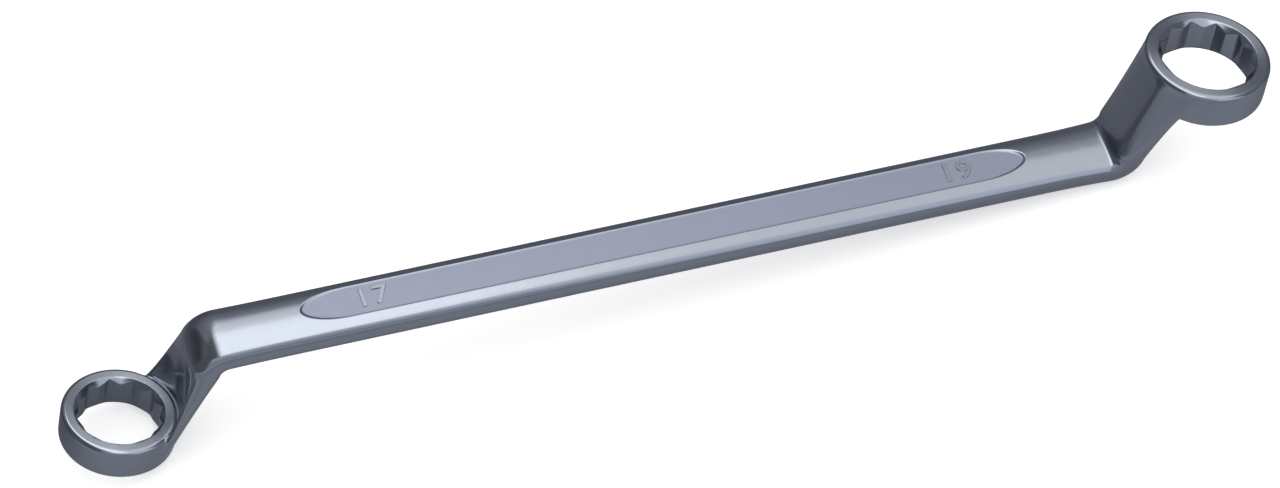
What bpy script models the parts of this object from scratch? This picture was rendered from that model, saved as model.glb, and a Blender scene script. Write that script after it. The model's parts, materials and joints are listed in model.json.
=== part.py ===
"""Double-ended deep offset ring spanner for 17 mm and 19 mm nuts, lying on a bench.

The tool is one steel forging. It is modelled as its natural sections: two rings, two cranked
necks and the shank between them. All of it is first laid out in the shank's own frame, with the
shank along X and its broad faces up and down. Then the whole tool is tipped into the attitude in
which it lies by itself: on the sole of the smaller ring and on the heel of the opposite bend.
"""

import math

import bmesh
import bpy
from mathutils import Matrix, Vector

MM = 0.001

# The nuts that the two ends turn
nut_19_across_flats = 19.0 * MM
nut_17_across_flats = 17.0 * MM
socket_clearance = 0.1 * MM

# The rings: steel left outside the socket's corners, and height along the nut's axis
ring_19_wall = 3.3 * MM
ring_17_wall = 3.1 * MM
ring_19_height = 9.0 * MM
ring_17_height = 8.2 * MM
rim_round = 1.1 * MM
mouth_land = 0.3 * MM
socket_points = 12

# How the rings stand to the shank
ring_centres_apart = 250.0 * MM
ring_offset = 20.0 * MM
ring_tilt = math.radians(8.6)
neck_19_angle = math.radians(77.0)
neck_17_angle = math.radians(70.0)

# The shank
shank_width = 15.3 * MM
shank_thickness = 7.5 * MM
shank_flare_length = 18.0 * MM
section_fullness = 2.8

# The necks: breadth after the bend, thickness, the bend's inner corner and, from it, its middle
# line, and the seat on the ring's outer wall. The seat reaches round the ring by shares of the
# way to where the neck's straight sides would touch it.
neck_19_width = 17.8 * MM
neck_17_width = 16.2 * MM
neck_thickness = 8.1 * MM
bend_inside_radius = 1.2 * MM
bend_radius = bend_inside_radius + neck_thickness / 2
seat_top_share = 0.95
seat_sole_share = 0.7
rim_step = 2.0 * MM
sole_step = 0.6 * MM

# The shallow flat panel forged into both broad faces, from near one bend to near the other
panel_margin = 18.0 * MM
panel_width = 9.4 * MM
panel_depth = 0.5 * MM
panel_taper = 11.0 * MM
panel_ramp = 1.0 * MM

# The hairline between neighbouring sections
section_gap = 0.3 * MM

# How finely curves are divided; a ring has a whole number of facets to each socket wall
ring_segments = 72
round_steps = 4
broad_steps = 24
edge_steps = 6
bend_steps = 9
neck_steps = 8
flare_steps = 6
taper_steps = 10

# Where a section's broad face turns into its rounded edge
section_corner = math.radians(35.0)
flare_power = 3


def clear_scene():
    """Take away everything that the scene holds."""
    for thing in list(bpy.data.objects):
        bpy.data.objects.remove(thing, do_unlink=True)


def steel(name, colour, roughness):
    """A metal finish with its own colour and gloss."""
    material = bpy.data.materials.new(name)
    material.use_nodes = True
    shader = material.node_tree.nodes["Principled BSDF"]
    shader.inputs["Base Color"].default_value = (*colour, 1.0)
    shader.inputs["Metallic"].default_value = 1.0
    shader.inputs["Roughness"].default_value = roughness
    return material


def new_object(name, mesh_data, material):
    """Turn a bmesh into a named object with its faces pointing out."""
    bmesh.ops.recalc_face_normals(mesh_data, faces=mesh_data.faces)
    mesh = bpy.data.meshes.new(name)
    mesh_data.to_mesh(mesh)
    mesh_data.free()
    mesh.shade_smooth()
    mesh.set_sharp_from_angle(angle=math.radians(30.0))
    mesh.materials.append(material)
    thing = bpy.data.objects.new(name, mesh)
    bpy.context.scene.collection.objects.link(thing)
    return thing


def new_empty(name, parent=None):
    """A frame that other objects are placed in."""
    frame = bpy.data.objects.new(name, None)
    bpy.context.scene.collection.objects.link(frame)
    frame.parent = parent
    return frame


def turned(point, angle):
    """Turn a point about the Y axis, the way that dips +X for a positive angle."""
    return Matrix.Rotation(angle, 3, "Y") @ Vector(point)


def skin_rows(mesh_data, rows):
    """Join each row of vertices to the next with a band of four-sided faces."""
    for low, high in zip(rows, rows[1:]):
        for i in range(len(low)):
            j = (i + 1) % len(low)
            mesh_data.faces.new((low[i], low[j], high[j], high[i]))


def section_angles():
    """Angles round a cross-section: upper face, one edge, lower face, other edge."""
    broad = math.pi - 2 * section_corner
    edge = 2 * section_corner
    angles = [math.pi - section_corner - broad * i / broad_steps for i in range(broad_steps)]
    angles += [section_corner - edge * i / edge_steps for i in range(edge_steps)]
    angles += [-section_corner - broad * i / broad_steps for i in range(broad_steps)]
    angles += [section_corner - math.pi - edge * i / edge_steps for i in range(edge_steps)]
    return angles


def section(width, thickness):
    """A full oval, crowned on its broad faces and round on its edges, in the YZ plane."""
    points = []
    for angle in section_angles():
        across, up = math.cos(angle), math.sin(angle)
        y = math.copysign(abs(across) ** (2 / section_fullness), across) * width / 2
        z = math.copysign(abs(up) ** (2 / section_fullness), up) * thickness / 2
        points.append(Vector((0.0, y, z)))
    return points


def placed_section(width, thickness, centre, slope):
    """A cross-section set square to a path that climbs at the given slope in the XZ plane."""
    return [turned(point, -slope) + centre for point in section(width, thickness)]


class Head:
    """All the places that follow from one end's nut, ring and neck."""

    def __init__(self, name, across_flats, wall, height, neck_width, neck_angle):
        self.name = name
        self.flats = across_flats + socket_clearance
        self.socket_corner = self.flats / math.sqrt(3)
        self.radius = self.socket_corner + wall
        self.height = height
        self.neck_width = neck_width
        self.neck_angle = neck_angle
        self.centre = Vector((ring_centres_apart / 2, 0.0, ring_offset))
        self.seat_top = height / 2 - rim_step
        self.seat_sole = -height / 2 + sole_step
        seat_middle = (self.seat_top + self.seat_sole) / 2
        self.seat_point = self.centre + turned((-self.radius, 0.0, seat_middle), ring_tilt)
        corner_x = self.seat_point.x - self.seat_point.z / math.tan(neck_angle)
        self.bend_start = corner_x - bend_radius * math.tan(neck_angle / 2)
        self.panel_end = self.bend_start - panel_margin

    def touch_angle(self):
        """How far round the wall a straight line from the bend's side just touches the ring."""
        start = turned(self.bend_centre(self.neck_angle) - self.centre, -ring_tilt)
        aside = self.neck_width / 2
        reach = self.radius + section_gap
        return math.atan2(aside, -start.x) + math.acos(reach / math.hypot(aside, start.x))

    def width_at(self, distance):
        """Breadth at a distance along the path from where the shank starts to flare."""
        whole = shank_flare_length + bend_radius * self.neck_angle
        return shank_width + (self.neck_width - shank_width) * (distance / whole) ** flare_power

    def thickness_at(self, turn_share):
        """Thickness along the bend, from the shank's to the neck's."""
        return shank_thickness + (neck_thickness - shank_thickness) * turn_share

    def bend_centre(self, angle):
        """Where the path is once it has turned by the given angle."""
        centre = Vector((self.bend_start, 0.0, bend_radius))
        return centre + Vector((math.sin(angle), 0.0, -math.cos(angle))) * bend_radius

    def bend_section(self, turn_share):
        """The cross-section after the given share of the bend."""
        angle = self.neck_angle * turn_share
        width = self.width_at(shank_flare_length + bend_radius * angle)
        return placed_section(width, self.thickness_at(turn_share), self.bend_centre(angle), angle)

    def seat_wall(self, angle, height):
        """A point on the seat: the ring's wall, one hairline outside it."""
        reach = self.radius + section_gap
        point = (-reach * math.cos(angle), reach * math.sin(angle), height)
        return self.centre + turned(point, ring_tilt)

    def seat_grid(self):
        """Rows of points over the seat, from its upper edge to its sole."""
        rows = []
        for i in range(edge_steps + 1):
            down = i / edge_steps
            height = self.seat_top + (self.seat_sole - self.seat_top) * down
            share = seat_top_share + (seat_sole_share - seat_top_share) * down
            half_angle = self.touch_angle() * share
            turns = [2 * j / broad_steps - 1 for j in range(broad_steps + 1)]
            rows.append([self.seat_wall(half_angle * turn, height) for turn in turns])
        return rows


def grid_border(grid):
    """Walk round a grid's edge in the order of a cross-section's points."""
    border = grid[0][:-1]
    border += [row[-1] for row in grid[:-1]]
    border += grid[-1][:0:-1]
    border += [row[0] for row in grid[:0:-1]]
    return border


def neck_mesh(head):
    """The bend and the flaring neck, ending in a hollow seat round the ring's wall."""
    mesh_data = bmesh.new()
    first = head.bend_section(0.0)
    away = Vector((section_gap / 2, 0.0, 0.0))
    loops = [[point + away for point in first]]
    loops += [head.bend_section(i / bend_steps) for i in range(1, bend_steps + 1)]
    grid = head.seat_grid()
    border = grid_border(grid)
    last = loops[-1]
    for i in range(1, neck_steps):
        share = i / neck_steps
        loops.append([p.lerp(q, share) for p, q in zip(last, border)])
    rows = [[mesh_data.verts.new(point) for point in loop] for loop in loops]
    seat = [[mesh_data.verts.new(point) for point in row] for row in grid]
    rows.append(grid_border(seat))
    skin_rows(mesh_data, rows)
    mesh_data.faces.new(rows[0])
    for upper, lower in zip(seat, seat[1:]):
        for j in range(broad_steps):
            mesh_data.faces.new((upper[j], upper[j + 1], lower[j + 1], lower[j]))
    return mesh_data


def socket_reach(head, angle):
    """How far the socket's wall is from the axis: the further of two crossed hexagons."""
    pitch = 2 * math.pi / socket_points
    from_corner = abs((angle + pitch / 2) % pitch - pitch / 2)
    return head.flats / 2 / math.cos(pitch - from_corner)


def ring_rows(head):
    """Loops over the rim, down the wall, round the sole and back up the socket."""
    top = head.height / 2
    mouth = head.socket_corner + mouth_land
    angles = [2 * math.pi * i / ring_segments for i in range(ring_segments)]
    outer = [(mouth, top)]
    for i in range(round_steps + 1):
        turn = math.pi / 2 * i / round_steps
        reach = head.radius - rim_round + rim_round * math.sin(turn)
        outer.append((reach, top - rim_round + rim_round * math.cos(turn)))
    outer += [(reach, -height) for reach, height in reversed(outer)]
    rows = [[(reach, angle, height) for angle in angles] for reach, height in outer]
    socket = [(socket_reach(head, angle), angle) for angle in angles]
    for side in (-1, 1):
        rows.append([(reach, angle, side * (top - mouth + reach)) for reach, angle in socket])
    return [[Vector((r * math.cos(a), r * math.sin(a), z)) for r, a, z in row] for row in rows]


def ring_mesh(head):
    """The ring with its twelve-pointed socket, whose mouths are countersunk at 45 degrees."""
    mesh_data = bmesh.new()
    rows = [[mesh_data.verts.new(point) for point in row] for row in ring_rows(head)]
    skin_rows(mesh_data, rows + rows[:1])
    return mesh_data


def panel_share(to_end, y):
    """One on the panel's floor, nought outside the panel, and smooth in between."""
    into_taper = min(max(1 - to_end / panel_taper, 0), 1)
    narrowing = math.sqrt(1 - into_taper ** 2)
    inside = (panel_width / 2 * narrowing - abs(y)) / panel_ramp
    share = min(max(inside, 0), 1)
    return share * share * (3 - 2 * share)


def shank_section(head, x):
    """The shank's outline at a place along it, with the panels sunk into it."""
    flared = max(abs(x) - head.bend_start + shank_flare_length, 0)
    floor = shank_thickness / 2 - panel_depth
    points = []
    for point in section(head.width_at(flared), shank_thickness):
        sunk = panel_share(head.panel_end - abs(x), point.y) if abs(point.z) > floor else 0
        z = point.z + (math.copysign(floor, point.z) - point.z) * sunk
        points.append(Vector((x, point.y, z)))
    return points


def shank_stations(head):
    """Distances from the middle at which the shank's outline is drawn, towards one end."""
    stations = []
    for i in range(taper_steps + 1):
        turn = math.pi / 2 * i / taper_steps
        stations.append(head.panel_end - panel_taper * (1 - math.sin(turn)))
    for i in range(1, flare_steps):
        stations.append(head.bend_start - shank_flare_length * (1 - i / flare_steps))
    stations.append(head.bend_start - section_gap / 2)
    return sorted(stations)


def shank_mesh(head_17, head_19):
    """The straight bar with its panels, flaring a little towards both bends."""
    mesh_data = bmesh.new()
    loops = [shank_section(head_17, -x) for x in reversed(shank_stations(head_17))]
    loops += [shank_section(head_19, x) for x in shank_stations(head_19)]
    rows = [[mesh_data.verts.new(point) for point in loop] for loop in loops]
    skin_rows(mesh_data, rows)
    mesh_data.faces.new(rows[0])
    mesh_data.faces.new(rows[-1])
    return mesh_data


def build_head(head, frame, bright, satin):
    """One end: the ring with its socket, and the neck that carries it."""
    ring = new_object(f"ring_{head.name}", ring_mesh(head), bright)
    ring.parent = frame
    ring.location = head.centre
    ring.rotation_euler = (0.0, ring_tilt, 0.0)
    neck = new_object(f"neck_{head.name}", neck_mesh(head), satin)
    neck.parent = frame
    return ring, neck


def build_shank(head_17, head_19, frame, satin):
    """The bar between the bends."""
    shank = new_object("shank", shank_mesh(head_17, head_19), satin)
    shank.parent = frame
    return shank


def lower_hull(points):
    """The chain of edges under a cloud of (x, z) points, from left to right."""
    chain = []
    for x, z in sorted(points):
        while len(chain) > 1:
            (ax, az), (bx, bz) = chain[-2:]
            if (bx - ax) * (z - az) > (bz - az) * (x - ax):
                break
            chain.pop()
        chain.append((x, z))
    return chain


def world_points(things):
    """Every vertex of the given objects, where it stands in the scene."""
    bpy.context.view_layer.update()
    return [thing.matrix_world @ vertex.co for thing in things for vertex in thing.data.vertices]


def lay_down(frame, things):
    """Tip the tool onto the edge of its outline under its middle, and set it on the ground."""
    hull = lower_hull([(point.x, point.z) for point in world_points(things)])
    for (ax, az), (bx, bz) in zip(hull, hull[1:]):
        if ax <= 0.0 < bx:
            frame.rotation_euler = (0.0, math.atan2(bz - az, bx - ax), 0.0)
    points = world_points(things)
    low_x = min(point.x for point in points)
    high_x = max(point.x for point in points)
    frame.location = (-(low_x + high_x) / 2, 0.0, -min(point.z for point in points))


def main():
    """Build the five sections and lay the tool on the bench."""
    clear_scene()
    head_19 = Head(
        "19", nut_19_across_flats, ring_19_wall, ring_19_height, neck_19_width, neck_19_angle)
    head_17 = Head(
        "17", nut_17_across_flats, ring_17_wall, ring_17_height, neck_17_width, neck_17_angle)
    bench = new_empty("bench_frame")
    end_19 = new_empty("end_19_frame", bench)
    end_17 = new_empty("end_17_frame", bench)
    end_17.rotation_euler = (0.0, math.pi, 0.0)
    finishes = {
        "ring_19": steel("ring_19_finish", (0.50, 0.51, 0.56), 0.16),
        "ring_17": steel("ring_17_finish", (0.50, 0.51, 0.56), 0.16),
        "neck_19": steel("neck_19_finish", (0.40, 0.42, 0.47), 0.24),
        "neck_17": steel("neck_17_finish", (0.40, 0.42, 0.47), 0.24),
        "shank": steel("shank_finish", (0.58, 0.58, 0.66), 0.27),
    }
    sections = [build_shank(head_17, head_19, bench, finishes["shank"])]
    sections += build_head(head_19, end_19, finishes["ring_19"], finishes["neck_19"])
    sections += build_head(head_17, end_17, finishes["ring_17"], finishes["neck_17"])
    lay_down(bench, sections)


main()
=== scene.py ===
"""Models and finishes a chrome-plated deep offset ring spanner, and sets its stage."""

import json
import math
from typing import NamedTuple

import bmesh
import bpy
import numpy as np
from mathutils import Matrix, Vector

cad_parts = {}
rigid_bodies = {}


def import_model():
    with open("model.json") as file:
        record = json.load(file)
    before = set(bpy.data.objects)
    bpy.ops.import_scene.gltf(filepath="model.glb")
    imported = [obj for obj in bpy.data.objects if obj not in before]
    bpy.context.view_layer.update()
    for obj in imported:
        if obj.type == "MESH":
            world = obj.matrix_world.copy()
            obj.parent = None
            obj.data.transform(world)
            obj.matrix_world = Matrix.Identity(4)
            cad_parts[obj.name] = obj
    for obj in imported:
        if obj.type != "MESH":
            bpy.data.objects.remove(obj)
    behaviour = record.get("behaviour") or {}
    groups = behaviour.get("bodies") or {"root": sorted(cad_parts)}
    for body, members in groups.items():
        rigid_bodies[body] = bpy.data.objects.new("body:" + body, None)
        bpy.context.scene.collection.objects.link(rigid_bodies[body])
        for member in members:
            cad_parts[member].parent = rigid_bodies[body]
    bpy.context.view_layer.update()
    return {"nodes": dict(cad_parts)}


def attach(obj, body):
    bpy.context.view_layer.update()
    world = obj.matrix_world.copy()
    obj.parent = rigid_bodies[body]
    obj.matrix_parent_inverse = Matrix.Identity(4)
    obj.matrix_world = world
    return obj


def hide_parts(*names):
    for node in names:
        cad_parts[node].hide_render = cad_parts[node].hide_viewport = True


bl_info = {
    "name": "Offset ring spanner",
    "version": (1, 0, 0),
    "blender": (4, 5, 0),
    "location": "3D View > Sidebar > Spanner",
    "description": "Models a deep offset ring spanner as one chrome-plated forging",
    "category": "Add Mesh",
}

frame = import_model()

MM = 0.001

SOCKET_POINTS = 12
PANEL_MARGIN = 18 * MM
PAST_PANEL = 1 * MM  # the bar is still straight this far past a panel's end
HALF_GAP = 0.15 * MM  # half of the hairline between two packed sections
SAME_PLACE = 0.01 * MM  # points nearer than this count as one
SAME_DECIMALS = 7  # coordinates in metres that agree this far count as the same


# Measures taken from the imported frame

def node_points(node):
    """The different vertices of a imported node."""
    points = np.array([vertex.co for vertex in frame["nodes"][node].data.vertices])
    return np.unique(points.round(SAME_DECIMALS), axis=0)


def spread_axes(points):
    """The middle of a symmetrical cloud of points, and its axes from shortest to longest."""
    middle = (points.min(axis=0) + points.max(axis=0)) / 2
    _, axes = np.linalg.eigh(np.cov(points.T))
    return Vector(middle), [Vector(axis) for axis in axes.T]


class RingMeasure:
    """Where a packed ring is and how large it is, measured on its own vertices."""

    def __init__(self, node):
        points = node_points(node)
        self.centre, axes = spread_axes(points)
        self.axis = axes[0] * math.copysign(1, axes[0].z)
        offsets = points - np.array(self.centre)
        heights = offsets @ np.array(self.axis)
        reaches = np.linalg.norm(offsets - np.outer(heights, np.array(self.axis)), axis=1)
        self.top = float(heights.max())
        self.radius = float(reaches.max())
        self.flats = 2 * float(reaches.min()) * math.cos(math.pi / SOCKET_POINTS)
        self.mouth = float(reaches[heights > self.top - SAME_PLACE].min())


ring_19 = RingMeasure("ring_19")
ring_17 = RingMeasure("ring_17")
middle = (ring_19.centre + ring_17.centre) / 2
shank_along = spread_axes(node_points("shank"))[1][2]
shank_along *= math.copysign(1, shank_along.x)
tool_tilt = math.atan2(-shank_along.z, shank_along.x)
# The bar is modelled level, along X with its middle at the origin, and then moved into place
TOOL_TO_FRAME = Matrix.Translation(middle) @ Matrix.Rotation(tool_tilt, 4, "Y")
shank_points = np.array([TOOL_TO_FRAME.inverted() @ Vector(p) for p in node_points("shank")])
bend_start_19 = float(shank_points[:, 0].max()) + HALF_GAP
bend_start_17 = -float(shank_points[:, 0].min()) + HALF_GAP
# True for the points of the stretch that keeps one breadth
straight = abs(shank_points[:, 0]) < bend_start_19 - PANEL_MARGIN + PAST_PANEL


# Sizes and colours that a user would change

class ForgingSizes(bpy.types.PropertyGroup):
    """Sizes of the forging that the frame doesn't give."""

    shank_width: bpy.props.FloatProperty(
        name="Shank width", description="Breadth of the bar's straight stretch",
        default=float(np.ptp(shank_points[straight, 1])), unit="LENGTH")
    shank_thickness: bpy.props.FloatProperty(
        name="Shank thickness", description="Thickness of the bar across its crowned faces",
        default=float(np.ptp(shank_points[:, 2])), unit="LENGTH")
    fullness: bpy.props.FloatProperty(
        name="Fullness", description="How square the oval section is; 2 is a plain ellipse",
        default=2.8)
    flare_length: bpy.props.FloatProperty(
        name="Flare length", description="Length before a bend over which the bar widens",
        default=18 * MM, unit="LENGTH")
    flare_power: bpy.props.FloatProperty(
        name="Flare power", description="How late the widening comes", default=3.0)
    neck_width_19: bpy.props.FloatProperty(
        name="19 mm neck width", description="Breadth after the bend at the larger end",
        default=17.8 * MM, unit="LENGTH")
    neck_width_17: bpy.props.FloatProperty(
        name="17 mm neck width", description="Breadth after the bend at the smaller end",
        default=16.2 * MM, unit="LENGTH")
    neck_thickness: bpy.props.FloatProperty(
        name="Neck thickness", description="Thickness after the bend",
        default=8.1 * MM, unit="LENGTH")
    neck_angle_19: bpy.props.FloatProperty(
        name="19 mm neck angle", description="How steeply the larger end's neck leaves the bar",
        default=math.radians(77), unit="ROTATION")
    neck_angle_17: bpy.props.FloatProperty(
        name="17 mm neck angle", description="How steeply the smaller end's neck leaves the bar",
        default=math.radians(70), unit="ROTATION")
    bend_radius: bpy.props.FloatProperty(
        name="Bend radius", description="Radius of a bend at the middle of the bar",
        default=5.25 * MM, unit="LENGTH")
    rim_round: bpy.props.FloatProperty(
        name="Rim rounding", description="Radius of the rings' outer edges",
        default=1.1 * MM, unit="LENGTH")
    rim_step: bpy.props.FloatProperty(
        name="Rim step", description="Ring wall left standing above the neck",
        default=2.0 * MM, unit="LENGTH")
    mouth_round: bpy.props.FloatProperty(
        name="Mouth rounding", description="Softness of the edge round a socket's mouth",
        default=0.2 * MM, unit="LENGTH")
    panel_margin: bpy.props.FloatProperty(
        name="Panel margin", description="From the end of a flat panel to the start of the bend",
        default=PANEL_MARGIN, unit="LENGTH")
    panel_width: bpy.props.FloatProperty(
        name="Panel width", description="Width of the flat panel in a broad face",
        default=9.2 * MM, unit="LENGTH")
    panel_depth: bpy.props.FloatProperty(
        name="Panel depth", description="Depth of the panel below the crown",
        default=0.38 * MM, unit="LENGTH")
    panel_taper: bpy.props.FloatProperty(
        name="Panel taper", description="Length of the panel's rounded ends",
        default=11 * MM, unit="LENGTH")
    panel_ramp: bpy.props.FloatProperty(
        name="Panel ramp", description="Width of the slope at the panel's edge",
        default=0.5 * MM, unit="LENGTH")
    mark_height: bpy.props.FloatProperty(
        name="Mark height", description="Height of the raised size numbers",
        default=5.2 * MM, unit="LENGTH")
    mark_relief: bpy.props.FloatProperty(
        name="Mark relief", description="How far the size numbers stand up from the panel",
        default=0.22 * MM, unit="LENGTH")
    mark_weight: bpy.props.FloatProperty(
        name="Mark weight", description="How much the numbers' strokes are thickened on each side",
        default=0.1 * MM, unit="LENGTH")
    mark_inset: bpy.props.FloatProperty(
        name="Mark inset", description="From a panel's end to the middle of its size number",
        default=16 * MM, unit="LENGTH")


class ChromeFinish(bpy.types.PropertyGroup):
    """Colour and gloss of the plating."""

    plate_colour: bpy.props.FloatVectorProperty(
        name="Plate colour", description="Colour of the polished plating",
        default=(0.42, 0.455, 0.515), subtype="COLOR", min=0, max=1)
    panel_colour: bpy.props.FloatVectorProperty(
        name="Panel colour", description="Colour of the plating over the blasted panels",
        default=(0.425, 0.455, 0.565), subtype="COLOR", min=0, max=1)
    polish: bpy.props.FloatProperty(
        name="Polish roughness", description="Roughness of the polished skin", default=0.12)
    blast: bpy.props.FloatProperty(
        name="Blast roughness", description="Roughness of the blasted panels", default=0.34)
    ground: bpy.props.FloatProperty(
        name="Ground roughness", description="Roughness of the ground faces round the sockets",
        default=0.36)
    lay: bpy.props.FloatProperty(
        name="Lay", description="How much the gloss of the ground faces follows their grooves",
        default=0.88)


class StageLook(bpy.types.PropertyGroup):
    """Where the camera stands, and the colour of the floor."""

    camera_azimuth: bpy.props.FloatProperty(
        name="Camera azimuth", description="How far the camera stands round from the front",
        default=math.radians(-9.68), unit="ROTATION")
    camera_elevation: bpy.props.FloatProperty(
        name="Camera elevation", description="How high the camera looks down from",
        default=math.radians(48.79), unit="ROTATION")
    camera_roll: bpy.props.FloatProperty(
        name="Camera roll", description="How far the camera is turned about its line of sight",
        default=math.radians(8.63), unit="ROTATION")
    camera_distance: bpy.props.FloatProperty(
        name="Camera distance", description="From the camera to the tool's middle",
        default=1.449, unit="LENGTH")
    camera_lens: bpy.props.FloatProperty(
        name="Camera lens", description="Focal length in millimetres", default=183.0)
    aim_right: bpy.props.FloatProperty(
        name="Aim to the right",
        description="Sideways distance of the line of sight from the origin",
        default=-7.46 * MM, unit="LENGTH")
    aim_up: bpy.props.FloatProperty(
        name="Aim upwards", description="Upward distance of the line of sight from the origin",
        default=9.16 * MM, unit="LENGTH")
    floor_colour: bpy.props.FloatVectorProperty(
        name="Floor colour", description="Colour of the plain pale floor",
        default=(0.8, 0.8, 0.8), subtype="COLOR", min=0, max=1)


# Mesh helpers

def deselect_all():
    """Leave edit mode and select nothing."""
    if bpy.context.object and bpy.context.object.mode != "OBJECT":
        bpy.ops.object.mode_set(mode="OBJECT")
    bpy.ops.object.select_all(action="DESELECT")


def make_active(piece):
    """Select one object alone and make it the active one."""
    deselect_all()
    piece.select_set(True)
    bpy.context.view_layer.objects.active = piece


def edit_mesh():
    """The mesh of the object that is in edit mode."""
    return bmesh.from_edit_mesh(bpy.context.object.data)


def show_edit():
    """Write the edit mesh's changes back."""
    bpy.context.object.data.update()
    bmesh.update_edit_mesh(bpy.context.object.data)


def weld(threshold):
    """Merge the active object's doubled vertices and turn its faces outwards."""
    bpy.ops.object.mode_set(mode="EDIT")
    bpy.ops.mesh.select_all(action="SELECT")
    bpy.ops.mesh.remove_doubles(threshold=threshold)
    bpy.ops.mesh.normals_make_consistent(inside=False)
    bpy.ops.object.mode_set(mode="OBJECT")


def join(kept, other):
    """Join another object into the one that is kept."""
    make_active(kept)
    other.select_set(True)
    bpy.ops.object.join()


def bridge_open_edges(beyond=-math.inf, **options):
    """Join the two open loops of the edit mesh that lie beyond a distance along the tool."""
    bpy.ops.mesh.select_mode(type="EDGE")
    bpy.ops.mesh.select_all(action="DESELECT")
    for edge in edit_mesh().edges:
        edge.select = edge.is_boundary and edge.verts[0].co.x > beyond
    bpy.ops.mesh.bridge_edge_loops(**options)


# Fineness and fixed shares of the forging's mesh

BROAD_STEPS = 34  # faces across each broad side of the bar, and across the neck's seat
RING_STEPS = 96  # faces round a ring
ROUND_STEPS = 4  # rows of faces over a ring's rounded rim
WALL_STEPS = 5  # rows of faces down a ring's wall beside the neck
SOLE_ROWS = 3  # rows of the lower rim's rounding that stay below the neck's seat
EDGE_STEPS = WALL_STEPS + ROUND_STEPS - SOLE_ROWS  # faces round a narrow edge of the bar
CORNER_ANGLE = math.radians(35)  # where the bar's section turns from broad side to edge
MIDDLE_STEPS, PANEL_END_STEPS, FLARE_STEPS = 14, 28, 10  # loops along the bar's stretches
BEND_STEPS = 12
NECK_CUTS = 9

CHAMFER_SHARES = (0.0, 0.18, 0.85, 1.0)  # loops from a mouth's circle to the socket's star
SOCKET_RISES = (-1, -0.5, 0, 0.5, 1)  # loops up the socket's wall, as shares of its half height
CORNER_CREASE = 0.6
CORNER_WITHIN = 0.05  # how near a corner is met, as the sine of six times the angle to it
UPRIGHT_WITHIN = math.radians(0.5)  # turn round the socket between an upright edge's ends

SEAT_HALF_ANGLE = math.pi * BROAD_STEPS / RING_STEPS
SEAT_TAPER = 0.27  # how much narrower the seat is at the sole
SEAT_BLEND = math.radians(150)  # how far round the ring the narrowing is made up
SEAT_SKIN = 0.2  # share of a rim's rounding that counts as the ring's outer wall
FILLET_NEAR = 0.05 * MM  # how near to the seat's sides the creases are found
FILLET_TOP, FILLET_SOLE = 0.25, 0.85  # shares of the way down the seat's sides
FILLET_ROWS = 2
FILLET_PASSES = 4
FILLET_PULL = 0.5

GROUND_DEPTH = 0.02 * MM  # a ground face is flat within this
GROUND_SLOT = 1  # the forging's second material

DIGIT_SHARE = 0.7  # height of a digit in its letter size
DIGIT_SPACING = 1.1
MARK_BEVEL_SHARE = 0.35
MARK_BEVEL_STEPS = 2
MARK_WELD = 0.002 * MM


# The bar

def superellipse(angle, width, thickness, fullness):
    """A point of the bar's oval section, in the YZ plane."""
    across, up = math.cos(angle), math.sin(angle)
    y = math.copysign(abs(across) ** (2 / fullness), across) * width / 2
    z = math.copysign(abs(up) ** (2 / fullness), up) * thickness / 2
    return Vector((0, y, z))


def section_angles():
    """Angles round the bar's section: many over each broad face, few round each edge."""
    broad = math.pi - 2 * CORNER_ANGLE
    edge = 2 * CORNER_ANGLE
    angles = [math.pi - CORNER_ANGLE - broad * i / BROAD_STEPS for i in range(BROAD_STEPS)]
    angles += [CORNER_ANGLE - edge * i / EDGE_STEPS for i in range(EDGE_STEPS)]
    angles += [-CORNER_ANGLE - broad * i / BROAD_STEPS for i in range(BROAD_STEPS)]
    angles += [CORNER_ANGLE - math.pi - edge * i / EDGE_STEPS for i in range(EDGE_STEPS)]
    return angles


class End(NamedTuple):
    """One end of the tool: its ring, where its bend starts, and its neck's breadth and angle."""

    name: str
    ring: RingMeasure
    bend_start: float
    neck_width: float
    neck_angle: float
    turned_over: bool


def bar_width(distance, end, sizes):
    """Breadth of the bar at a distance past the point where it starts to flare."""
    whole = sizes.flare_length + sizes.bend_radius * end.neck_angle
    share = max(distance, 0) / whole
    return sizes.shank_width + (end.neck_width - sizes.shank_width) * share ** sizes.flare_power


def bar_stations(bend_start, sizes):
    """Places along the bar for its loops, closest together at the panel's end."""
    panel_end = bend_start - sizes.panel_margin
    places = (0, panel_end - sizes.panel_taper, panel_end + PAST_PANEL, bend_start)
    stretches = zip(places, places[1:], (MIDDLE_STEPS, PANEL_END_STEPS, FLARE_STEPS))
    return [float(station) for start, stop, steps in stretches
            for station in np.linspace(start, stop, steps + 1)[1:]]


def turn_loop(pivot, turn, slope, width_ratio, thickness_ratio):
    """Swing the selected loop about the bend's axis, growing it in its own plane first."""
    mesh = edit_mesh()
    loop = [vertex for vertex in mesh.verts if vertex.select]
    middle_point = sum((vertex.co for vertex in loop), Vector()) / len(loop)
    up = Vector((-math.sin(slope), 0, math.cos(slope)))
    swing = Matrix.Rotation(turn, 3, "Y")
    for vertex in loop:
        offset = vertex.co - middle_point
        rise = offset.dot(up)
        offset += up * rise * (thickness_ratio - 1)
        offset.y *= width_ratio
        vertex.co = pivot + swing @ (middle_point + offset - pivot)
    show_edit()


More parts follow.
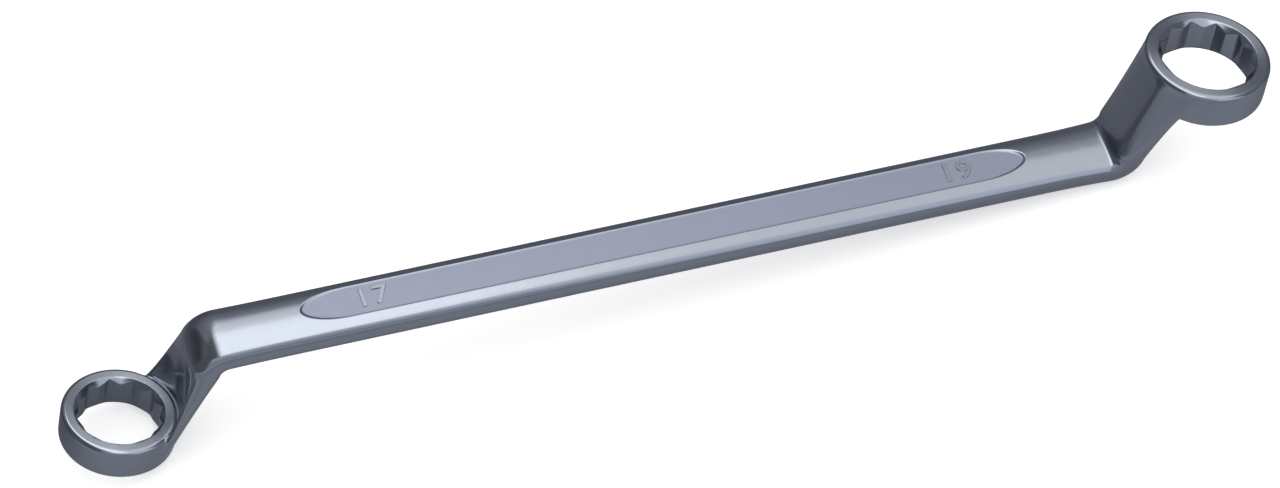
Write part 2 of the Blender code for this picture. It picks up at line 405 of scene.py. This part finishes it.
def half_bar(end, sizes):
    """The bar from the tool's middle to the end of one bend, extruded from its oval section."""
    deselect_all()
    bpy.ops.mesh.primitive_circle_add(vertices=len(section_angles()), fill_type="NOTHING")
    bar = bpy.context.object
    bar.name = f"{end.name}_bar"
    for vertex, angle in zip(bar.data.vertices, section_angles()):
        vertex.co = superellipse(angle, sizes.shank_width, sizes.shank_thickness, sizes.fullness)
    bpy.ops.object.mode_set(mode="EDIT")
    bpy.ops.mesh.select_all(action="SELECT")
    x, width = 0.0, sizes.shank_width
    for station in bar_stations(end.bend_start, sizes):
        bpy.ops.mesh.extrude_region_move(TRANSFORM_OT_translate={"value": (station - x, 0, 0)})
        new_width = bar_width(station - end.bend_start + sizes.flare_length, end, sizes)
        bpy.ops.transform.resize(
            value=(1, new_width / width, 1), center_override=(station, 0, 0))
        x, width = station, new_width
    thickness = sizes.shank_thickness
    pivot = Vector((end.bend_start, 0, sizes.bend_radius))
    turn = end.neck_angle / BEND_STEPS
    for i in range(1, BEND_STEPS + 1):
        bpy.ops.mesh.extrude_region()
        new_width = bar_width(sizes.flare_length + sizes.bend_radius * turn * i, end, sizes)
        new_thickness = sizes.shank_thickness
        new_thickness += (sizes.neck_thickness - sizes.shank_thickness) * i / BEND_STEPS
        turn_loop(pivot, -turn, turn * (i - 1), new_width / width, new_thickness / thickness)
        width, thickness = new_width, new_thickness
    bpy.ops.object.mode_set(mode="OBJECT")
    return bar


# The rings

def star_reach(flats, angle):
    """How far a twelve-point socket's wall is from its axis."""
    pitch = 2 * math.pi / SOCKET_POINTS
    from_corner = abs((angle + pitch / 2) % pitch - pitch / 2)
    return flats / 2 / math.cos(pitch - from_corner)


def chamfer_point(ring, angle, share, side):
    """Reach and height a share of the way down a mouth's chamfer; side is 1 above, -1 below."""
    reach = ring.mouth + (star_reach(ring.flats, angle) - ring.mouth) * share
    return reach, side * (ring.top - (ring.mouth - reach))


def socket_point(ring, angle, rise, edge_round):
    """Reach and height on the socket's wall, from -1 at its lower chamfer to 1 at its upper."""
    reach = star_reach(ring.flats, angle)
    return reach, (ring.top - (ring.mouth - reach) - edge_round) * rise


def ring_profile(ring, sizes):
    """Reaches and heights of the ring's outer loops, from the rim's mouth to the sole's mouth."""
    rounding = []
    for i in range(ROUND_STEPS + 1):
        turn = math.pi / 2 * i / ROUND_STEPS
        reach = ring.radius - sizes.rim_round * (1 - math.sin(turn))
        rounding.append((reach, ring.top - sizes.rim_round * (1 - math.cos(turn))))
    wall = np.linspace(ring.top - sizes.rim_step, sizes.rim_round - ring.top, WALL_STEPS + 1)
    flat_edge = ring.radius - sizes.rim_round - sizes.mouth_round
    profile = [(flat_edge, ring.top)] + rounding
    profile += [(ring.radius, float(height)) for height in wall[:-1]]
    profile += [(reach, -height) for reach, height in reversed(rounding)]
    profile += [(flat_edge, -ring.top), (ring.mouth + sizes.mouth_round, -ring.top)]
    return profile


def extrude_loop(loop_point):
    """Extrude the ring's open loop, and put each new vertex where its own angle says."""
    bpy.ops.mesh.extrude_region()
    for vertex in edit_mesh().verts:
        if vertex.select:
            angle = math.atan2(vertex.co.y, vertex.co.x)
            reach, height = loop_point(angle)
            vertex.co = (reach * math.cos(angle), reach * math.sin(angle), height)
    show_edit()


def ring_body(name, ring, sizes):
    """A ring with its twelve-point socket: loops over the rim, down the wall and up inside."""
    deselect_all()
    bpy.ops.mesh.primitive_circle_add(
        vertices=RING_STEPS, radius=ring.mouth + sizes.mouth_round, fill_type="NOTHING",
        location=(0, 0, ring.top))
    body = bpy.context.object
    body.name = name
    bpy.ops.object.transform_apply(location=True, rotation=False, scale=False)
    bpy.ops.object.mode_set(mode="EDIT")
    bpy.ops.mesh.select_all(action="SELECT")
    for reach, height in ring_profile(ring, sizes):
        extrude_loop(lambda angle: (reach, height))
    for share in CHAMFER_SHARES:
        extrude_loop(lambda angle: chamfer_point(ring, angle, share, -1))
    for rise in SOCKET_RISES:
        extrude_loop(lambda angle: socket_point(ring, angle, rise, sizes.mouth_round))
    for share in reversed(CHAMFER_SHARES):
        extrude_loop(lambda angle: chamfer_point(ring, angle, share, 1))
    bridge_open_edges()
    crease_socket(ring)
    bpy.ops.object.mode_set(mode="OBJECT")
    return body


def crease_socket(ring):
    """Keep the upright corners of the socket's star fairly crisp."""
    mesh = edit_mesh()
    crease = mesh.edges.layers.float.new("crease_edge")
    corner_reach = ring.flats / math.sqrt(3)
    for edge in mesh.edges:
        a, b = (vertex.co for vertex in edge.verts)
        inside = max(a.xy.length, b.xy.length) < corner_reach + SAME_PLACE
        upright = abs(a.xy.angle_signed(b.xy)) < UPRIGHT_WITHIN
        corner = abs(math.sin(SOCKET_POINTS / 2 * math.atan2(a.y, a.x))) < CORNER_WITHIN
        if inside and upright and corner:
            edge[crease] = CORNER_CREASE
    show_edit()


def open_seat(body, ring, sizes):
    """Take away the ring's wall where the neck grows out of it."""
    make_active(body)
    bpy.ops.object.mode_set(mode="EDIT")
    bpy.ops.mesh.select_mode(type="FACE")
    sole = -ring.top + sizes.rim_round * (1 - math.cos(math.pi / 2 * SOLE_ROWS / ROUND_STEPS))
    for face in edit_mesh().faces:
        centre = face.calc_center_median()
        facing = abs(math.atan2(centre.y, -centre.x)) < SEAT_HALF_ANGLE
        outside = centre.xy.length > ring.radius - sizes.rim_round * SEAT_SKIN
        between = sole < centre.z < ring.top - sizes.rim_step
        face.select = facing and outside and between
    bpy.ops.mesh.delete(type="FACE")
    bpy.ops.mesh.select_mode(type="EDGE")
    bpy.ops.object.mode_set(mode="OBJECT")


def taper_seat(body, ring, sizes):
    """Draw the wall's opening in towards its sole, where the neck comes up narrower."""
    top, sole = ring.top - sizes.rim_step, -ring.top
    for vertex in body.data.vertices:
        reach = vertex.co.xy.length
        if reach > ring.mouth + 2 * sizes.mouth_round:
            drawn = 1 - SEAT_TAPER * min(max((top - vertex.co.z) / (top - sole), 0), 1)
            side = SEAT_HALF_ANGLE * drawn
            angle = math.atan2(vertex.co.y, -vertex.co.x)
            new_angle = abs(angle) * drawn
            if abs(angle) > SEAT_HALF_ANGLE:
                along = (abs(angle) - SEAT_HALF_ANGLE) / (SEAT_BLEND - SEAT_HALF_ANGLE)
                new_angle = side + (SEAT_BLEND - side) * min(along, 1)
                new_angle += max(abs(angle) - SEAT_BLEND, 0)
            new_angle = math.copysign(new_angle, angle)
            vertex.co.xy = (-reach * math.cos(new_angle), reach * math.sin(new_angle))


def ease_seat_sides(ring_place, ring, sizes):
    """Round the creases where the neck's sides meet the ring's wall, as a forging has them."""
    top, sole = ring.top - sizes.rim_step, -ring.top
    to_ring = ring_place.inverted()
    for vertex in edit_mesh().verts:
        place = to_ring @ vertex.co
        down = (top - place.z) / (top - sole)
        side = SEAT_HALF_ANGLE * (1 - SEAT_TAPER * down)
        on_wall = abs(place.xy.length - ring.radius) < FILLET_NEAR
        at_side = abs(abs(math.atan2(place.y, -place.x)) - side) * ring.radius < FILLET_NEAR
        vertex.select = on_wall and at_side and FILLET_TOP < down < FILLET_SOLE
    bpy.ops.mesh.select_mode(type="VERT")
    for _ in range(FILLET_ROWS):
        bpy.ops.mesh.select_more()
    bpy.ops.mesh.vertices_smooth(factor=FILLET_PULL, repeat=FILLET_PASSES)
    bpy.ops.mesh.select_mode(type="EDGE")


# The forging

def cranked_end(end, sizes):
    """Half of the forging, bar, bend, neck and ring, in one skin that is open at the middle."""
    bar = half_bar(end, sizes)
    body = ring_body(f"{end.name}_ring", end.ring, sizes)
    open_seat(body, end.ring, sizes)
    taper_seat(body, end.ring, sizes)
    half_turn = math.pi if end.turned_over else 0
    to_end = Matrix.Rotation(half_turn, 4, "Y").inverted() @ TOOL_TO_FRAME.inverted()
    axis = (to_end.to_3x3() @ end.ring.axis).normalized()
    axis *= math.copysign(1, axis.z)
    body.location = to_end @ end.ring.centre
    body.rotation_euler = (0, math.atan2(axis.x, axis.z), 0)
    ring_place = Matrix.LocRotScale(body.location, body.rotation_euler, None)
    make_active(body)
    bpy.ops.object.transform_apply(location=True, rotation=True, scale=True)
    join(bar, body)
    bpy.ops.object.mode_set(mode="EDIT")
    bridge_open_edges(end.bend_start / 2, number_cuts=NECK_CUTS, interpolation="LINEAR")
    ease_seat_sides(ring_place, end.ring, sizes)
    bpy.ops.object.mode_set(mode="OBJECT")
    bar.rotation_euler = (0, half_turn, 0)
    bpy.ops.object.transform_apply(location=True, rotation=True, scale=True)
    return bar


def panel_share(x, y, sizes):
    """One on a panel's floor, nought outside it, and a smooth slope between."""
    panel_end = (bend_start_19 if x > 0 else bend_start_17) - sizes.panel_margin
    into_taper = (abs(x) - panel_end + sizes.panel_taper) / sizes.panel_taper
    narrowing = math.sqrt(1 - min(max(into_taper, 0), 1) ** 2)
    inside = (sizes.panel_width / 2 * narrowing - abs(y)) / sizes.panel_ramp
    share = min(max(inside, 0), 1)
    return share * share * (3 - 2 * share)


def sink_panels(forging, sizes):
    """Flatten the long panels into both broad faces, and mark them for their finish."""
    floor = sizes.shank_thickness / 2 - sizes.panel_depth
    marks = forging.data.attributes.new("panel", "FLOAT", "POINT")
    for vertex, mark in zip(forging.data.vertices, marks.data):
        x, y, z = vertex.co
        if abs(x) < bend_start_17 and abs(z) > floor:
            share = panel_share(x, y, sizes)
            vertex.co.z += (math.copysign(floor, z) - z) * share
            mark.value = share


def mark_ground_faces(forging, sizes):
    """Mark the flat faces round the sockets, and the direction across their round grooves."""
    across = forging.data.attributes.new("across_grooves", "FLOAT_VECTOR", "POINT")
    for face in forging.data.polygons:
        ring = ring_19 if face.center.x > 0 else ring_17
        offset = face.center - ring.centre
        height = offset.dot(ring.axis)
        reach = (offset - ring.axis * height).length
        flat = abs(abs(height) - ring.top) < GROUND_DEPTH
        if flat and reach < ring.radius - sizes.rim_round:
            face.material_index = GROUND_SLOT
            for i in face.vertices:
                spoke = forging.data.vertices[i].co - ring.centre
                across.data[i].vector = (spoke - ring.axis * spoke.dot(ring.axis)).normalized()


def build_forging(sizes):
    """The whole tool in one closed skin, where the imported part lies."""
    larger = End(
        "larger", ring_19, bend_start_19, sizes.neck_width_19, sizes.neck_angle_19, False)
    smaller = End(
        "smaller", ring_17, bend_start_17, sizes.neck_width_17, sizes.neck_angle_17, True)
    join(cranked_end(larger, sizes), cranked_end(smaller, sizes))
    forging = bpy.context.object
    forging.name = forging.data.name = "forging"
    weld(SAME_PLACE)
    smooth = forging.modifiers.new("smooth", "SUBSURF")
    smooth.levels = smooth.render_levels = 1
    bpy.ops.object.modifier_apply(modifier=smooth.name)
    sink_panels(forging, sizes)
    bpy.ops.object.shade_smooth()
    forging.data.transform(TOOL_TO_FRAME)
    mark_ground_faces(forging, sizes)
    return forging


# The size numbers

def size_mark(text, place, sizes):
    """A size number that stands up from the upper panel."""
    deselect_all()
    bpy.ops.object.text_add()
    mark = bpy.context.object
    mark.name = f"size_number_{text}"
    letters = mark.data
    letters.body = text
    letters.align_x, letters.align_y = "CENTER", "CENTER"
    letters.size = sizes.mark_height / DIGIT_SHARE
    letters.space_character = DIGIT_SPACING
    letters.bevel_depth = sizes.mark_relief * MARK_BEVEL_SHARE
    letters.bevel_resolution = MARK_BEVEL_STEPS
    letters.offset = sizes.mark_weight - letters.bevel_depth
    letters.extrude = sizes.mark_relief - letters.bevel_depth
    bpy.ops.object.convert(target="MESH")
    weld(MARK_WELD)
    mark.location = place
    bpy.ops.object.transform_apply(location=True, rotation=False, scale=False)
    mark.data.transform(TOOL_TO_FRAME)
    return mark


def build_marks(sizes):
    """Plain size numbers in the upper panel, each near the ring that it belongs to."""
    floor = sizes.shank_thickness / 2 - sizes.panel_depth
    inset = sizes.panel_margin + sizes.mark_inset
    places = {"19": bend_start_19 - inset, "17": inset - bend_start_17}
    return [size_mark(text, (x, 0, floor), sizes) for text, x in places.items()]


# Materials

WAVE_SCALE, WAVE_DETAIL = 300.0, 3
PIT_SCALE, PIT_DETAIL = 2500.0, 2
PIT_SHARE = 0.18  # height of the pits against that of the waves
CLOUD_SHARE = 0.08  # how much duller the plating is on a wave's crest
SKIN_STRENGTH = 0.25
SKIN_DEPTH = 0.05 * MM


def new_material(name):
    """A material with nodes, and its nodes and links."""
    material = bpy.data.materials.new(name)
    material.use_nodes = True
    return material, material.node_tree.nodes, material.node_tree.links


def new_math(nodes, operation, factor=None):
    """A node that works out one value, with a fixed second number where one is given."""
    node = nodes.new("ShaderNodeMath")
    node.operation = operation
    if factor is not None:
        node.inputs[1].default_value = factor
    return node


def forged_skin_group():
    """Gentle waviness and fine pits that show through plating laid over a forging."""
    group = bpy.data.node_groups.new("forged_skin", "ShaderNodeTree")
    for title, scale in (("Wave scale", WAVE_SCALE), ("Pit scale", PIT_SCALE)):
        socket = group.interface.new_socket(
            name=title, in_out="INPUT", socket_type="NodeSocketFloat")
        socket.default_value = scale
    for title in ("Height", "Cloud"):
        group.interface.new_socket(name=title, in_out="OUTPUT", socket_type="NodeSocketFloat")
    nodes, links = group.nodes, group.links
    entry = nodes.new("NodeGroupInput")
    leave = nodes.new("NodeGroupOutput")
    place = nodes.new("ShaderNodeTexCoord")
    wave = nodes.new("ShaderNodeTexNoise")
    wave.inputs["Detail"].default_value = WAVE_DETAIL
    pits = nodes.new("ShaderNodeTexNoise")
    pits.inputs["Detail"].default_value = PIT_DETAIL
    for noise, scale in ((wave, "Wave scale"), (pits, "Pit scale")):
        links.new(place.outputs["Object"], noise.inputs["Vector"])
        links.new(entry.outputs[scale], noise.inputs["Scale"])
    height = new_math(nodes, "MULTIPLY_ADD", PIT_SHARE)
    links.new(pits.outputs["Fac"], height.inputs[0])
    links.new(wave.outputs["Fac"], height.inputs[2])
    links.new(height.outputs[0], leave.inputs["Height"])
    links.new(wave.outputs["Fac"], leave.inputs["Cloud"])
    return group


def plated_material(name, skin_group):
    """Chrome over the forged skin: the material, its shader and the node that sets its gloss."""
    material, nodes, links = new_material(name)
    shader = nodes["Principled BSDF"]
    shader.inputs["Metallic"].default_value = 1.0
    skin = nodes.new("ShaderNodeGroup")
    skin.node_tree = skin_group
    gloss = new_math(nodes, "MULTIPLY_ADD", CLOUD_SHARE)
    links.new(skin.outputs["Cloud"], gloss.inputs[0])
    links.new(gloss.outputs[0], shader.inputs["Roughness"])
    bump = nodes.new("ShaderNodeBump")
    bump.inputs["Strength"].default_value = SKIN_STRENGTH
    bump.inputs["Distance"].default_value = SKIN_DEPTH
    links.new(skin.outputs["Height"], bump.inputs["Height"])
    links.new(bump.outputs["Normal"], shader.inputs["Normal"])
    return material, shader, gloss


def chrome_material(finish, skin_group):
    """Satin chrome over the forging, polished on the crowns and blasted matt in the panels."""
    material, shader, gloss = plated_material("satin_chrome", skin_group)
    nodes, links = material.node_tree.nodes, material.node_tree.links
    panel = nodes.new("ShaderNodeAttribute")
    panel.attribute_name = "panel"
    colour = nodes.new("ShaderNodeMix")
    colour.data_type = "RGBA"
    colour.inputs["A"].default_value = (*finish.plate_colour, 1)
    colour.inputs["B"].default_value = (*finish.panel_colour, 1)
    links.new(panel.outputs["Fac"], colour.inputs["Factor"])
    links.new(colour.outputs["Result"], shader.inputs["Base Color"])
    roughness = nodes.new("ShaderNodeMapRange")
    roughness.inputs["To Min"].default_value = finish.polish
    roughness.inputs["To Max"].default_value = finish.blast
    links.new(panel.outputs["Fac"], roughness.inputs["Value"])
    links.new(roughness.outputs["Result"], gloss.inputs[2])
    return material


def ground_material(finish, skin_group):
    """Chrome over a face ground round its socket, whose gloss spreads across the grooves."""
    material, shader, gloss = plated_material("ground_chrome", skin_group)
    nodes, links = material.node_tree.nodes, material.node_tree.links
    shader.inputs["Base Color"].default_value = (*finish.plate_colour, 1)
    shader.inputs["Anisotropic"].default_value = finish.lay
    gloss.inputs[2].default_value = finish.ground
    across = nodes.new("ShaderNodeAttribute")
    across.attribute_name = "across_grooves"
    links.new(across.outputs["Vector"], shader.inputs["Tangent"])
    return material


# Stage

SENSOR_WIDTH = 36.0
NEAREST_SEEN = 0.05
FLOOR_SIZE = 8
FLOOR_ROUGHNESS = 0.9
FLOOR_LIFT = 0.5  # glow that brings the lit floor up to white for what is seen
WORLD_LIGHT, WORLD_SEEN = 0.85, 1.0
LAMP_SIZE = (0.6, 1.95)
LAMP_HEIGHT = 1.16
LAMP_POWER = 3.0

ROOM_REACH = 1.2
CARD_STEPS = 24
CARD_TINT = (0.97, 1.0, 1.12)
BENCH_LIFT = 0.05 * MM
CEILING_PLACE = (-0.8, 0, 1.35)
CEILING_STRETCH = (0.52, 1.1, 1)
ROOM_SIDES = (
    # name, where it starts and ends clockwise from the back in degrees, greys by height in metres
    ("back", 0, 60, ((0, 0.16), (0.5, 0.16), (1.16, 0.33))),
    ("right", 60, 125, ((0, 0.17), (0.6, 0.19), (1.16, 0.4))),
    ("front_right", 125, 168, ((0, 0.75), (1.16, 0.88))),
    ("front", 168, 220, ((0, 0.3), (0.6, 0.42), (1.16, 0.65))),
    ("left", 220, 280, ((0, 0.12), (1.35, 0.15))),
    ("left_corner", 280, 320, ((0, 0.15), (0.25, 0.09), (0.6, 0.06), (0.9, 0.13), (1.35, 0.22))),
    ("back_left", 320, 360, ((0, 0.09), (0.5, 0.15), (0.8, 0.23), (1.35, 0.31))),
)
CEILING_TONES = ((-1.3, 0.12), (-0.2, 0.16))  # distance along the tool, and grey there
# The bench's grey falls towards the tool and is darkest just behind its middle. This is a painted
# shadow, which the metal mirrors, because the glowing card takes no real shadow.
BENCH_TONES_WITH_PAINTED_SHADOW = (
    # distance behind the tool's middle, and grey there
    (-0.6, 0.65), (-0.25, 0.46), (-0.1, 0.28), (-0.065, 0.28), (-0.035, 0.34), (-0.02, 0.32),
    (-0.008, 0.24), (0.012, 0.12), (0.035, 0.19), (0.09, 0.19), (0.2, 0.13))


def seen_rays(nodes, links):
    """One for rays of the camera and for rays that metal and glass send on."""
    light_path = nodes.new("ShaderNodeLightPath")
    total = light_path.outputs["Is Camera Ray"]
    for ray in ("Is Glossy Ray", "Is Transmission Ray"):
        either = new_math(nodes, "MAXIMUM")
        links.new(total, either.inputs[0])
        links.new(light_path.outputs[ray], either.inputs[1])
        total = either.outputs[0]
    return total


def build_floor(look):
    """A plain pale floor that lifts to white for what is seen, and keeps the tool's shadow."""
    deselect_all()
    bpy.ops.mesh.primitive_plane_add(size=FLOOR_SIZE)
    floor = bpy.context.object
    floor.name = "floor"
    material, nodes, links = new_material("pale_floor")
    shader = nodes["Principled BSDF"]
    shader.inputs["Base Color"].default_value = (*look.floor_colour, 1)
    shader.inputs["Roughness"].default_value = FLOOR_ROUGHNESS
    shader.inputs["Specular IOR Level"].default_value = 0.0
    shader.inputs["Emission Color"].default_value = (1, 1, 1, 1)
    lift = new_math(nodes, "MULTIPLY", FLOOR_LIFT)
    links.new(seen_rays(nodes, links), lift.inputs[0])
    links.new(lift.outputs[0], shader.inputs["Emission Strength"])
    floor.data.materials.append(material)


def build_world():
    """Plain white for what is seen, and a soft grey light otherwise."""
    world = bpy.data.worlds.new("studio")
    bpy.context.scene.world = world
    world.use_nodes = True
    nodes, links = world.node_tree.nodes, world.node_tree.links
    background = nodes["Background"]
    background.inputs["Color"].default_value = (1, 1, 1, 1)
    level = nodes.new("ShaderNodeMapRange")
    level.inputs["To Min"].default_value = WORLD_LIGHT
    level.inputs["To Max"].default_value = WORLD_SEEN
    links.new(seen_rays(nodes, links), level.inputs["Value"])
    links.new(level.outputs["Result"], background.inputs["Strength"])


def build_lamp():
    """One soft box that hangs over the tool and shines straight down."""
    data = bpy.data.lights.new("overhead_box", "AREA")
    data.shape = "RECTANGLE"
    data.size, data.size_y = LAMP_SIZE
    data.energy = LAMP_POWER
    lamp = bpy.data.objects.new("overhead_box", data)
    lamp.location = (0, 0, LAMP_HEIGHT)
    bpy.context.scene.collection.objects.link(lamp)


def card_material(name, axis, stops):
    """A glowing card whose grey runs along an axis through stops of (place in metres, level)."""
    material, nodes, links = new_material(name)
    nodes.remove(nodes["Principled BSDF"])
    first, last = stops[0][0], stops[-1][0]
    place = nodes.new("ShaderNodeTexCoord")
    split = nodes.new("ShaderNodeSeparateXYZ")
    share = nodes.new("ShaderNodeMapRange")
    share.inputs["From Min"].default_value = first
    share.inputs["From Max"].default_value = last
    tone = nodes.new("ShaderNodeValToRGB")
    ramp = tone.color_ramp
    for i, (where, level) in enumerate(stops):
        spot = (where - first) / (last - first)
        element = ramp.elements[i] if i < 2 else ramp.elements.new(spot)
        element.position = spot
        element.color = (*(level * tint for tint in CARD_TINT), 1)
    glow = nodes.new("ShaderNodeEmission")
    links.new(place.outputs["Object"], split.inputs["Vector"])
    links.new(split.outputs[axis], share.inputs["Value"])
    links.new(share.outputs["Result"], tone.inputs["Fac"])
    links.new(tone.outputs["Color"], glow.inputs["Color"])
    links.new(glow.outputs["Emission"], nodes["Material Output"].inputs["Surface"])
    return material


def finish_card(card, name, axis, stops):
    """Tone a card, and let the metal alone see it, so that it neither shows nor shades."""
    card.name = f"{name}_card"
    card.data.materials.append(card_material(f"{name}_tone", axis, stops))
    card.visible_camera = False
    card.visible_diffuse = False
    card.visible_shadow = False
    card.visible_transmission = False


def flat_card(name, place, stretch_by, axis, stops):
    """A level card at a place, its square stretched by a share each way."""
    deselect_all()
    bpy.ops.mesh.primitive_plane_add(size=2 * ROOM_REACH)
    bpy.ops.object.mode_set(mode="EDIT")
    bpy.ops.mesh.select_all(action="SELECT")
    bpy.ops.transform.resize(value=stretch_by, center_override=(0, 0, 0))
    bpy.ops.transform.translate(value=place)
    bpy.ops.object.mode_set(mode="OBJECT")
    finish_card(bpy.context.object, name, axis, stops)


def curved_card(name, start, end, stops):
    """An upright card bent round the tool, from one compass angle clockwise to another."""
    deselect_all()
    bpy.ops.mesh.primitive_plane_add(size=1)
    bpy.ops.object.mode_set(mode="EDIT")
    bpy.ops.mesh.select_all(action="SELECT")
    bpy.ops.mesh.delete(type="ONLY_FACE")
    mesh = edit_mesh()
    mesh.verts.ensure_lookup_table()
    for vertex in list(mesh.verts)[2:]:
        mesh.verts.remove(vertex)
    for vertex, height in zip(mesh.verts, (0, stops[-1][0])):
        vertex.co = (ROOM_REACH * math.sin(start), ROOM_REACH * math.cos(start), height)
    show_edit()
    bpy.ops.mesh.select_all(action="SELECT")
    bpy.ops.mesh.spin(steps=CARD_STEPS, angle=end - start, center=(0, 0, 0), axis=(0, 0, 1))
    bpy.ops.object.mode_set(mode="OBJECT")
    finish_card(bpy.context.object, name, "Z", stops)


def build_cards():
    """The bench, whose grey darkens into a painted shadow close under the tool, the ceiling and
    the sides of a grey room, for the metal to mirror.
    """
    # The bench card's dark band near the tool is a painted shadow for the metal to mirror.
    flat_card("bench_with_painted_shadow", (0, 0, BENCH_LIFT), (1, 1, 1), "Y", BENCH_TONES_WITH_PAINTED_SHADOW)
    flat_card("ceiling", CEILING_PLACE, CEILING_STRETCH, "X", CEILING_TONES)
    for side, start, end, stops in ROOM_SIDES:
        curved_card(side, math.radians(start), math.radians(end), stops)


def build_camera(look):
    """A long lens at the photograph's viewing angle."""
    azimuth, elevation = look.camera_azimuth, look.camera_elevation
    back = Vector((math.sin(azimuth) * math.cos(elevation),
                   -math.cos(azimuth) * math.cos(elevation), math.sin(elevation)))
    right = Vector((math.cos(azimuth), math.sin(azimuth), 0))
    up = back.cross(right)
    turned_right = right * math.cos(look.camera_roll) - up * math.sin(look.camera_roll)
    turned_up = right * math.sin(look.camera_roll) + up * math.cos(look.camera_roll)
    place = back * look.camera_distance + turned_right * look.aim_right + turned_up * look.aim_up
    data = bpy.data.cameras.new("camera")
    data.lens = look.camera_lens
    data.sensor_width = SENSOR_WIDTH
    data.clip_start = NEAREST_SEEN
    camera = bpy.data.objects.new("camera", data)
    bpy.context.scene.collection.objects.link(camera)
    turn = Matrix((turned_right, turned_up, back)).transposed().to_4x4()
    camera.matrix_world = Matrix.Translation(place) @ turn
    bpy.context.scene.camera = camera


# Operators and panel

class SPANNER_OT_forging(bpy.types.Operator):
    """Model the one-piece forging and plate it"""

    bl_idname = "spanner.forging"
    bl_label = "Forging"

    def execute(self, context):
        forging = build_forging(context.scene.forging_sizes)
        finish, skin = context.scene.chrome_finish, forged_skin_group()
        forging.data.materials.append(chrome_material(finish, skin))
        forging.data.materials.append(ground_material(finish, skin))
        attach(forging, "root")
        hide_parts("ring_19", "neck_19", "shank", "neck_17", "ring_17")
        return {"FINISHED"}


class SPANNER_OT_marks(bpy.types.Operator):
    """Raise the size numbers in the panels"""

    bl_idname = "spanner.marks"
    bl_label = "Size numbers"

    def execute(self, context):
        for mark in build_marks(context.scene.forging_sizes):
            mark.data.materials.append(bpy.data.materials["satin_chrome"])
            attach(mark, "root")
        return {"FINISHED"}


class SPANNER_OT_stage(bpy.types.Operator):
    """Lay the floor, hang the lamp, set up the cards and place the camera"""

    bl_idname = "spanner.stage"
    bl_label = "Stage"

    def execute(self, context):
        look = context.scene.stage_look
        build_floor(look)
        build_world()
        build_lamp()
        build_cards()
        build_camera(look)
        context.scene.view_settings.view_transform = "Standard"
        return {"FINISHED"}


class SPANNER_PT_panel(bpy.types.Panel):
    """The spanner's tools in the sidebar"""

    bl_idname = "SPANNER_PT_panel"
    bl_label = "Ring spanner"
    bl_space_type = "VIEW_3D"
    bl_region_type = "UI"
    bl_category = "Spanner"

    def draw(self, context):
        for operator in OPERATORS:
            self.layout.operator(operator.bl_idname)


GROUPS = {"forging_sizes": ForgingSizes, "chrome_finish": ChromeFinish, "stage_look": StageLook}
OPERATORS = (SPANNER_OT_forging, SPANNER_OT_marks, SPANNER_OT_stage)


def register():
    """Make the classes and the scene's settings known."""
    for kind in (*GROUPS.values(), *OPERATORS, SPANNER_PT_panel):
        bpy.utils.register_class(kind)
    for name, group in GROUPS.items():
        setattr(bpy.types.Scene, name, bpy.props.PointerProperty(type=group))


def unregister():
    """Take the classes and the scene's settings away."""
    for name in GROUPS:
        delattr(bpy.types.Scene, name)
    for kind in (SPANNER_PT_panel, *reversed(OPERATORS), *reversed(GROUPS.values())):
        bpy.utils.unregister_class(kind)


def main():
    """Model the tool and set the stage."""
    register()
    bpy.ops.spanner.forging()
    bpy.ops.spanner.marks()
    bpy.ops.spanner.stage()


if __name__ == "__main__":
    main()
